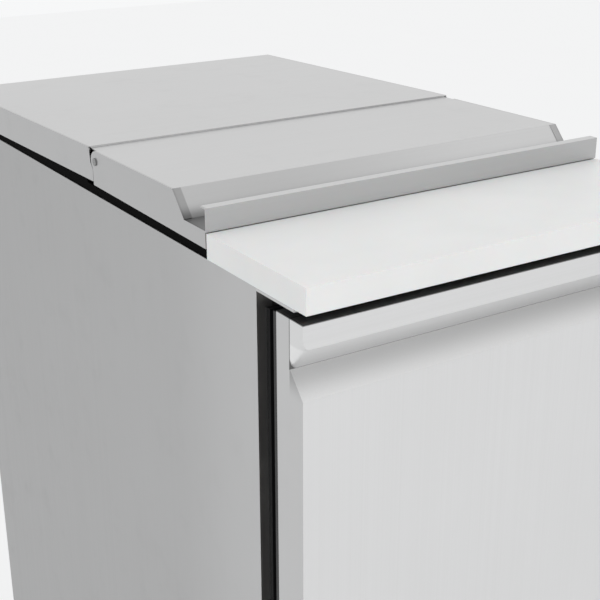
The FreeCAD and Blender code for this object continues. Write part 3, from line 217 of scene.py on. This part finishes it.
def door_shade(tree, coord, folded_end_shade=0.78, shadow=0.62, seam_tone=0.30):
    """Painted shade on the folded ends and on the slope below the lip, and a dark seam beside the lip."""
    sideways = join(tree, "ABSOLUTE", along(tree, coord, "Normal", "X"))
    ends = spread(tree, sideways, 1.0, folded_end_shade, 0.4, 0.9)
    before_wall = fade(tree, coord, "Y", GRIP_WALL, 0.0006, 0.0004)
    under_lip = fade(tree, coord, "Z", VERTEX, -0.0241, 0.0)
    slope = where(tree, product(tree, (before_wall, under_lip)), shadow)
    seam_front = fade(tree, coord, "Y", GRIP_WALL, -0.0002, 0.0)
    seam_back = fade(tree, coord, "Y", GRIP_WALL, 0.0012, 0.0006)
    high = fade(tree, coord, "Z", VERTEX, -0.0010, 0.0)
    seam = where(tree, product(tree, (seam_front, seam_back, high)), seam_tone)
    return product(tree, (ends, slope, seam, top_shade(tree, coord)))


def grip_shade(tree, coord, brighter=1.12):
    """Painted light on the lip's underside, which shows a little brighter than its front, and painted shade
    on the top face.
    """
    underside = fade(tree, coord, "Z", VERTEX, 0.0215, 0.0190)
    return join(tree, "MULTIPLY", where(tree, underside, brighter), top_shade(tree, coord))


# ---------------------------------------------------------------- materials

ALONG_GRAIN = 1.2
ACROSS_GRAIN = 700
GRAIN = {
    "x": (ALONG_GRAIN, ACROSS_GRAIN, ACROSS_GRAIN),
    "z": (ACROSS_GRAIN, ACROSS_GRAIN, ALONG_GRAIN),
}


def brushed(name, grain, tone, rough=0.34, wear=0.05, upright=1.0, shade=None):
    """Satin stainless sheet: fine grain one way, faint wipe marks, a few soft smudges.

    Below 1, upright paints shade on its upright faces. A shade function adds a piece's own painted light
    and shade.
    """
    material, tree, shader, coord = start_material(name)
    lines = noise(tree, coord, 1.0, 3.0, 0.6, GRAIN[grain])
    broad = noise(tree, coord, 5.0, 3.0, 0.6)
    smudge = noise(tree, coord, 26.0, 4.0, 0.55)
    mix = join(tree, "ADD", spread(tree, lines, 0.0, 0.6), spread(tree, broad, 0.0, 0.4))
    blue = 0.004
    dark = (tone * (1 - wear),) * 3
    light = (tone, tone + blue / 2, tone + blue)
    colour = tint(tree, mix, dark, light)
    if upright < 1.0:
        colour = shaded(tree, colour, facing_shade(tree, coord, upright))
    if shade:
        colour = shaded(tree, colour, shade(tree, coord))
    tree.links.new(colour, shader.inputs["Base Color"])
    shader.inputs["Metallic"].default_value = 1.0
    grain_marks = spread(tree, lines, rough - 0.04, rough + 0.06)
    smudge_marks = spread(tree, smudge, 0.0, 0.05, 0.55, 0.75)
    tree.links.new(join(tree, "ADD", grain_marks, smudge_marks), shader.inputs["Roughness"])
    bump(tree, shader, lines, 0.00002, 0.35)
    return material


def moulded(name, colour, rough=0.5, grain_scale=900.0, depth=0.00005, vary=0.12, specular=0.5):
    """Plastic, rubber or paint with a fine skin texture and slight shade changes."""
    material, tree, shader, coord = start_material(name)
    fine = noise(tree, coord, grain_scale, 2.0, 0.6)
    broad = noise(tree, coord, 18.0, 3.0, 0.55)
    dark = tuple(channel * (1 - vary) for channel in colour)
    tree.links.new(tint(tree, spread(tree, broad, 0.0, 1.0), dark, colour), shader.inputs["Base Color"])
    tree.links.new(spread(tree, fine, rough - 0.06, rough + 0.06), shader.inputs["Roughness"])
    shader.inputs["Specular IOR Level"].default_value = specular
    bump(tree, shader, fine, depth, 0.5)
    return material


def board_plastic(name):
    """White polyethylene: milky, with a fine planed texture and faint knife scores."""
    material, tree, shader, coord = start_material(name)
    fine = noise(tree, coord, 1400.0, 2.0, 0.6)
    broad = noise(tree, coord, 9.0, 3.0, 0.5)
    scores = noise(tree, coord, 1.0, 2.0, 0.5, (14, 420, 60))
    tree.links.new(tint(tree, spread(tree, broad, 0.0, 1.0), (0.87, 0.88, 0.875), (0.93, 0.935, 0.93)),
                   shader.inputs["Base Color"])
    tree.links.new(spread(tree, scores, 0.36, 0.5), shader.inputs["Roughness"])
    shader.inputs["Subsurface Weight"].default_value = 0.12
    shader.inputs["Subsurface Scale"].default_value = 0.01
    bump(tree, shader, join(tree, "ADD", fine, scores), 0.00004, 0.4)
    return material


# The panel steels' tones are painted light and shade on one stainless: darker on the side panels and on the
# header under the board, lighter on the door and its grip.
MATERIALS = {
    "steel_side": brushed("steel_side", "z", 0.47, 0.36, shade=side_shade),
    "steel_top": brushed("steel_top", "x", 0.635, upright=0.84),
    "steel_front_lid": brushed("steel_front_lid", "x", 0.635, upright=0.84, shade=trough_shade),
    "steel_door": brushed("steel_door", "z", 0.81, 0.36, shade=door_shade),
    "steel_header_shaded": brushed("steel_header_shaded", "x", 0.40, 0.4),
    "steel_grip": brushed("steel_grip", "x", 0.80, 0.36, shade=grip_shade),
    "steel_plain": brushed("steel_plain", "x", 0.64, 0.38),
    "steel_liner": brushed("steel_liner", "x", 0.70, 0.30, wear=0.04),
    "zinc": moulded("zinc", (0.42, 0.44, 0.45), 0.45, 120.0, depth=0.00004, vary=0.25, specular=0.8),
    "foam": moulded("foam", (0.78, 0.70, 0.50), 0.85, 600.0, depth=0.0002, vary=0.2),
    "black_plastic": moulded("black_plastic", (0.012, 0.012, 0.013), 0.42),
    "rubber": moulded("rubber", (0.006, 0.006, 0.007), 0.6, 500.0, specular=0.3),
    "seal_foam": moulded("seal_foam", (0.002, 0.002, 0.002), 0.9, 700.0, specular=0.06),
    "board": board_plastic("board"),
    "screw": brushed("screw", "x", 0.32, 0.28, wear=0.2),
    "foot": moulded("foot", (0.02, 0.02, 0.021)),
    "wire_coat": moulded("wire_coat", (0.72, 0.74, 0.74), 0.3),
    "alloy": brushed("alloy", "z", 0.6, 0.4, wear=0.15),
    "enamel": moulded("enamel", (0.014, 0.014, 0.015), 0.28, 300.0),
    "display": moulded("display", (0.03, 0.002, 0.002), 0.12),
    "key_rubber": moulded("key_rubber", (0.20, 0.21, 0.22), 0.6),
    "rocker": moulded("rocker", (0.01, 0.14, 0.03), 0.2),
}

BY_SLOT = {
    "stainless": "steel_plain", "liner_steel": "steel_liner", "galvanised": "zinc", "insulation": "foam",
    "black_plastic": "black_plastic", "seal_rubber": "rubber", "white_board": "board",
    "screw_steel": "screw", "foot_plastic": "foot", "wire_coat": "wire_coat", "coil_alloy": "alloy",
    "black_paint": "enamel", "display": "display", "keys": "key_rubber", "rocker": "rocker",
}
BY_NODE = {
    "side_panel_left": "steel_side", "side_panel_right": "steel_side", "back_panel": "steel_side",
    "front_lid_skin": "steel_front_lid", "rear_lid_skin": "steel_top", "door_skin": "steel_door",
    "door_grip": "steel_grip", "front_sill": "steel_door", "front_header": "steel_header_shaded",
    "front_lid_seal": "seal_foam", "rear_lid_seal": "seal_foam",
}

for entry in frame["record"]["subparts"]:
    name = entry["node"]
    piece = frame["nodes"][name]
    piece.data.materials.clear()
    piece.data.materials.append(MATERIALS[BY_NODE.get(name, BY_SLOT[entry["material_slot"]])])

# ---------------------------------------------------------------- two thin sheets under the lid's seam
# The overlap carries the front section's flat on beneath the rear section's edge, and the strip fills the
# step above it, so that the seam shows as light as in the photo.

SEAM = FRONT_LID[1].y
SEAM_HEIGHT = SIDE[1].z + 0.0434
SEAM_HALF = FRONT_LID[1].x - 0.0027


def thin_sheet(name, body, behind_seam, above_seam):
    """A flat box across the lid, riding on a body, its depth and height given as (from, to) in metres."""
    front, back = (SEAM + reach for reach in behind_seam)
    bottom, top = (SEAM_HEIGHT + reach for reach in above_seam)
    outline = ((front, bottom), (back, bottom), (back, top), (front, top))
    points = [(x, y, z) for x in (-SEAM_HALF, SEAM_HALF) for y, z in outline]
    faces = [(0, 1, 2, 3), (7, 6, 5, 4)]
    for first in range(4):
        second = (first + 1) % 4
        faces.append((second, first, first + 4, second + 4))
    mesh = bpy.data.meshes.new(name)
    mesh.from_pydata(points, [], faces)
    mesh.validate()
    mesh.materials.append(MATERIALS["steel_plain"])
    piece = bpy.data.objects.new(name, mesh)
    bpy.context.scene.collection.objects.link(piece)
    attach(piece, body)


thin_sheet("lid_seam_overlap", "front_lid", (0.0, 0.004), (-0.0009, 0.0))
thin_sheet("lid_seam_strip", "rear_lid", (0.0005, 0.0025), (0.0001, 0.0008))

# ---------------------------------------------------------------- softened folds and edges

BEVEL_WIDTHS = {
    "side_panel_left": 0.0006, "side_panel_right": 0.0006,
    "front_lid_skin": 0.00035, "rear_lid_skin": 0.00035,
    "door_skin": 0.0005, "door_grip": 0.0007, "board_rail": 0.0009, "cutting_board": 0.0006,
    "door_gasket": 0.0012, "door_frame": 0.0008, "front_lid_seal": 0.001, "rear_lid_seal": 0.001,
    "controller": 0.0006, "switch_housing": 0.0005, "lid_screws": 0.0003, "base_plate": 0.0003,
    "compressor": 0.004, "door_hinge_brackets": 0.0004,
}
for name, width in BEVEL_WIDTHS.items():
    modifier = frame["nodes"][name].modifiers.new("folded edge", "BEVEL")
    modifier.width = width
    modifier.segments = 3
    modifier.limit_method = "ANGLE"
    modifier.angle_limit = math.radians(28)
    modifier.harden_normals = True

# ---------------------------------------------------------------- studio


def panel_light(name, place, target, side, power):
    """A square soft light at a place, turned to a target."""
    light = bpy.data.lights.new(name, "AREA")
    light.size = side
    light.energy = power
    holder = bpy.data.objects.new(name, light)
    bpy.context.scene.collection.objects.link(holder)
    holder.location = place
    aim = Vector(target) - Vector(place)
    holder.rotation_euler = aim.to_track_quat("-Z", "Y").to_euler()


def seen_directly(tree):
    """Two masks: 1 for camera rays, and 1 for what metal and glass show."""
    path = tree.nodes.new("ShaderNodeLightPath")
    mirrored = join(tree, "MAXIMUM", path.outputs["Is Glossy Ray"], path.outputs["Is Transmission Ray"])
    return path.outputs["Is Camera Ray"], mirrored


def floor_material(whitened=0.78, mirrored_white=0.60):
    """Pale matt floor, whitened for the camera and for reflections, with the shadow kept."""
    material, tree, shader, coord = start_material("floor")
    broad = noise(tree, coord, 2.5, 3.0, 0.5)
    tree.links.new(tint(tree, spread(tree, broad, 0.0, 1.0), (0.83, 0.83, 0.83), (0.85, 0.85, 0.85)),
                   shader.inputs["Base Color"])
    shader.inputs["Roughness"].default_value = 0.6
    bump(tree, shader, noise(tree, coord, 300.0), 0.0001, 0.2)
    glow = tree.nodes.new("ShaderNodeEmission")
    glow.inputs["Color"].default_value = (0.965, 0.97, 0.975, 1)
    camera_ray, mirrored = seen_directly(tree)
    for_camera = join(tree, "MULTIPLY", camera_ray, whitened)
    for_mirrors = join(tree, "MULTIPLY", mirrored, mirrored_white)
    share = join(tree, "ADD", for_camera, for_mirrors)
    blend = tree.nodes.new("ShaderNodeMixShader")
    tree.links.new(share, blend.inputs["Fac"])
    tree.links.new(shader.outputs["BSDF"], blend.inputs[1])
    tree.links.new(glow.outputs["Emission"], blend.inputs[2])
    tree.links.new(blend.outputs["Shader"], tree.nodes["Material Output"].inputs["Surface"])
    return material


bpy.ops.mesh.primitive_plane_add(size=14, location=(0, 0, 0))
floor = bpy.context.object
floor.name = "studio_floor"
floor.data.materials.append(floor_material())

world = bpy.data.worlds.new("studio")
bpy.context.scene.world = world
world.use_nodes = True
tree = world.node_tree
tree.nodes.clear()
output = tree.nodes.new("ShaderNodeOutputWorld")
direction = tree.nodes.new("ShaderNodeTexCoord")


def lobe(axis, sign, gain):
    """Light that grows towards one side of the room."""
    sided = join(tree, "MULTIPLY", along(tree, direction, "Generated", axis), sign)
    raised = join(tree, "MAXIMUM", sided, 0.0)
    return join(tree, "MULTIPLY", raised, gain)


def room(base, lobes):
    """A grey room whose level rises with each (axis, sign, gain) lobe."""
    level = base
    for lobe_facts in lobes:
        level = join(tree, "ADD", level, lobe(*lobe_facts))
    grey = tree.nodes.new("ShaderNodeCombineColor")
    for channel in ("Red", "Green", "Blue"):
        tree.links.new(level, grey.inputs[channel])
    background = tree.nodes.new("ShaderNodeBackground")
    tree.links.new(grey.outputs["Color"], background.inputs["Color"])
    return background.outputs["Background"]


def choose(factor, first, second):
    """The first shader where the factor is 0, the second where it is 1."""
    mixer = tree.nodes.new("ShaderNodeMixShader")
    tree.links.new(factor, mixer.inputs["Fac"])
    tree.links.new(first, mixer.inputs[1])
    tree.links.new(second, mixer.inputs[2])
    return mixer.outputs["Shader"]


lighting = room(0.46, (("X", 1.0, 0.10), ("X", -1.0, 0.40), ("Y", -1.0, 0.40), ("Z", 1.0, 0.14)))
mirrored_room = room(0.72, (("X", 1.0, 0.10), ("Y", 1.0, 0.13), ("Z", 1.0, 0.10)))
seen = tree.nodes.new("ShaderNodeBackground")
seen.inputs["Color"].default_value = (0.93, 0.935, 0.94, 1)
camera_ray, mirrored = seen_directly(tree)
surroundings = choose(mirrored, lighting, mirrored_room)
tree.links.new(choose(camera_ray, surroundings, seen.outputs["Background"]), output.inputs["Surface"])

panel_light("overhead_softbox", (0.5, 0.2, 2.9), (0, 0, 0.7), 2.6, 6)
panel_light("front_softbox", (0.8, -3.0, 1.6), (0, 0, 0.6), 2.2, 8)

# ---------------------------------------------------------------- camera

CAMERA_PLACE = Vector((-0.6450, -1.0429, 1.1434))
FORWARD = Vector((0.5029, 0.7846, -0.3626)).normalized()
ROLL = -0.003
camera_data = bpy.data.cameras.new("camera")
camera_data.sensor_width = 36
camera_data.lens = 71.54
camera_data.clip_start = 0.01
camera_data.clip_end = 50
camera = bpy.data.objects.new("camera", camera_data)
bpy.context.scene.collection.objects.link(camera)
turn = FORWARD.to_track_quat("-Z", "Y").to_matrix().to_4x4() @ Matrix.Rotation(ROLL, 4, "Z")
camera.matrix_world = Matrix.Translation(CAMERA_PLACE) @ turn
bpy.context.scene.camera = camera
bpy.context.scene.view_settings.view_transform = "Standard"
